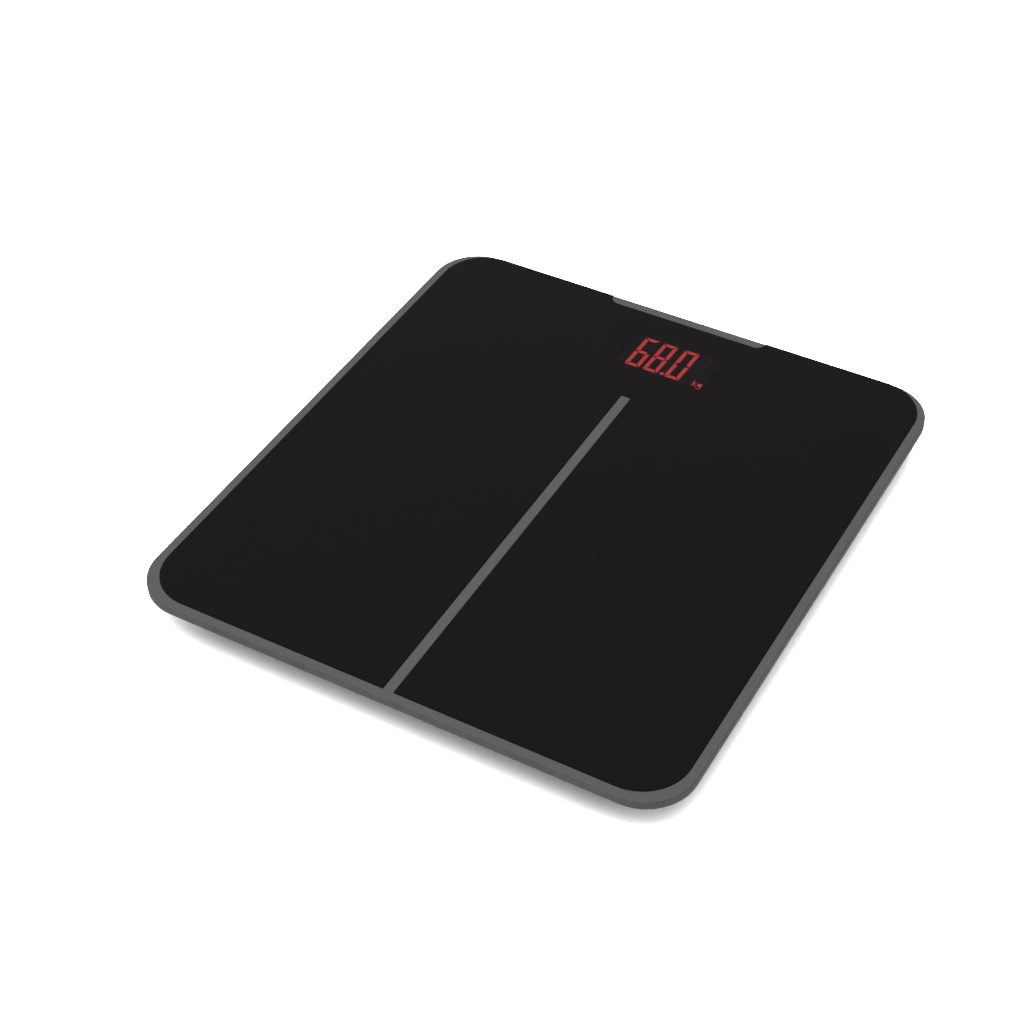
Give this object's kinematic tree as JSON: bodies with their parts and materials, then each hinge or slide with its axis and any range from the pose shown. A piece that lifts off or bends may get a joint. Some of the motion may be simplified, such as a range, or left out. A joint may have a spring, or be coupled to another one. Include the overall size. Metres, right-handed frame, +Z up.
{
  "type": "digital bathroom scale",
  "caption": "Low rectangular bathroom scale with a black standing panel in a grey rim, a centre rib, a rear tab, a lit red display and sprung sensing feet.",
  "frame": {"origin": "on the floor, under the middle of the platform", "axes": "+X to the user's right, +Y away from the user towards the display, +Z up"},
  "size_m": [0.2898, 0.315, 0.022],
  "materials": {
    "grey_shell": "satin moulded ABS, fine spark-eroded grain",
    "black_panel": "black sheet, satin gloss",
    "tape": "double-sided tape",
    "smoked_lens": "smoked acrylic, hidden until lit",
    "black_foam": "closed-cell foam",
    "black_mask": "matt black",
    "white_reflector": "white moulding",
    "tinned_metal": "tin plated",
    "lit_red": "lit red diffuser",
    "dark_segment": "unlit diffuser",
    "green_board": "solder mask",
    "black_epoxy": "moulded epoxy",
    "capacitor_sleeve": "shrink sleeve",
    "ivory_nylon": "moulded nylon",
    "zinc_steel": "zinc plated",
    "button_plastic": "satin moulding",
    "dark_cover": "moulded ABS, fine grain",
    "blank_label": "satin film, nothing printed",
    "door_plastic": "moulded ABS, fine grain",
    "cell_jacket": "printed film over steel",
    "nickel_spring": "nickel plated",
    "nickel_plate": "nickel plated",
    "red_lead": "PVC insulation",
    "black_lead": "PVC insulation",
    "grey_lead": "PVC jacket",
    "white_silicone": "cured silicone",
    "stamped_steel": "stamped and plated",
    "cell_steel": "ground spring steel",
    "foot_plastic": "moulded ABS",
    "foot_rubber": "moulded rubber"
  },
  "bodies": {
    "platform": {"platform_frame": "grey_shell", "top_panel": "black_panel", "panel_tape": "tape", "display_lens": "smoked_lens", "display_gasket": "black_foam", "display_mask": "black_mask", "display_housing": "white_reflector", "display_pins": "tinned_metal", "lit_segments": "lit_red", "dark_segments": "dark_segment", "unit_legend": "lit_red", "circuit_board": "green_board", "controller_chip": "black_epoxy", "amplifier_chip": "black_epoxy", "board_capacitors": "capacitor_sleeve", "lead_connectors": "ivory_nylon", "board_screws": "zinc_steel", "switch_body": "black_epoxy", "lower_cover": "dark_cover", "cover_screws": "zinc_steel", "rating_label": "blank_label", "aaa_cells": "cell_jacket", "contact_springs": "nickel_spring", "contact_plates": "nickel_plate", "battery_lead_red": "red_lead", "battery_lead_black": "black_lead", "gauge_covers": "white_silicone", "cell_retainers": "stamped_steel", "retainer_screws": "zinc_steel", "cell_lead_front_left": "grey_lead", "cell_lead_front_right": "grey_lead", "cell_lead_back_left": "grey_lead", "cell_lead_back_right": "grey_lead"},
    "foot_front_left": {"foot_cap_front_left": "foot_plastic", "foot_pad_front_left": "foot_rubber", "load_cell_front_left": "cell_steel"},
    "foot_front_right": {"foot_cap_front_right": "foot_plastic", "foot_pad_front_right": "foot_rubber", "load_cell_front_right": "cell_steel"},
    "foot_back_left": {"foot_cap_back_left": "foot_plastic", "foot_pad_back_left": "foot_rubber", "load_cell_back_left": "cell_steel"},
    "foot_back_right": {"foot_cap_back_right": "foot_plastic", "foot_pad_back_right": "foot_rubber", "load_cell_back_right": "cell_steel"},
    "battery_door": {"battery_door": "door_plastic", "door_foam_pad": "black_foam"},
    "unit_button": {"unit_button": "button_plastic", "switch_plunger": "black_epoxy"}
  },
  "joints": [
    {"name": "foot_flex_front_left", "type": "slide", "parent": "platform", "child": "foot_front_left", "axis": [0, 0, 1], "range_m": [0, 0.0006], "stiffness_N_per_m": 40000, "deforming": ["load_cell_front_left"]},
    {"name": "foot_flex_front_right", "type": "slide", "parent": "platform", "child": "foot_front_right", "axis": [0, 0, 1], "range_m": [0, 0.0006], "stiffness_N_per_m": 40000, "deforming": ["load_cell_front_right"]},
    {"name": "foot_flex_back_left", "type": "slide", "parent": "platform", "child": "foot_back_left", "axis": [0, 0, 1], "range_m": [0, 0.0006], "stiffness_N_per_m": 40000, "deforming": ["load_cell_back_left"]},
    {"name": "foot_flex_back_right", "type": "slide", "parent": "platform", "child": "foot_back_right", "axis": [0, 0, 1], "range_m": [0, 0.0006], "stiffness_N_per_m": 40000, "deforming": ["load_cell_back_right"]},
    {"name": "battery_door_hinge", "type": "hinge", "parent": "platform", "child": "battery_door", "pos_m": [0, 0.0385, 0.00425], "axis": [-1, 0, 0], "range_deg": [0, 80]},
    {"name": "unit_button_press", "type": "slide", "parent": "platform", "child": "unit_button", "axis": [0, 0, 1], "range_m": [0, 0.0005], "stiffness_N_per_m": 3000}
  ]
}
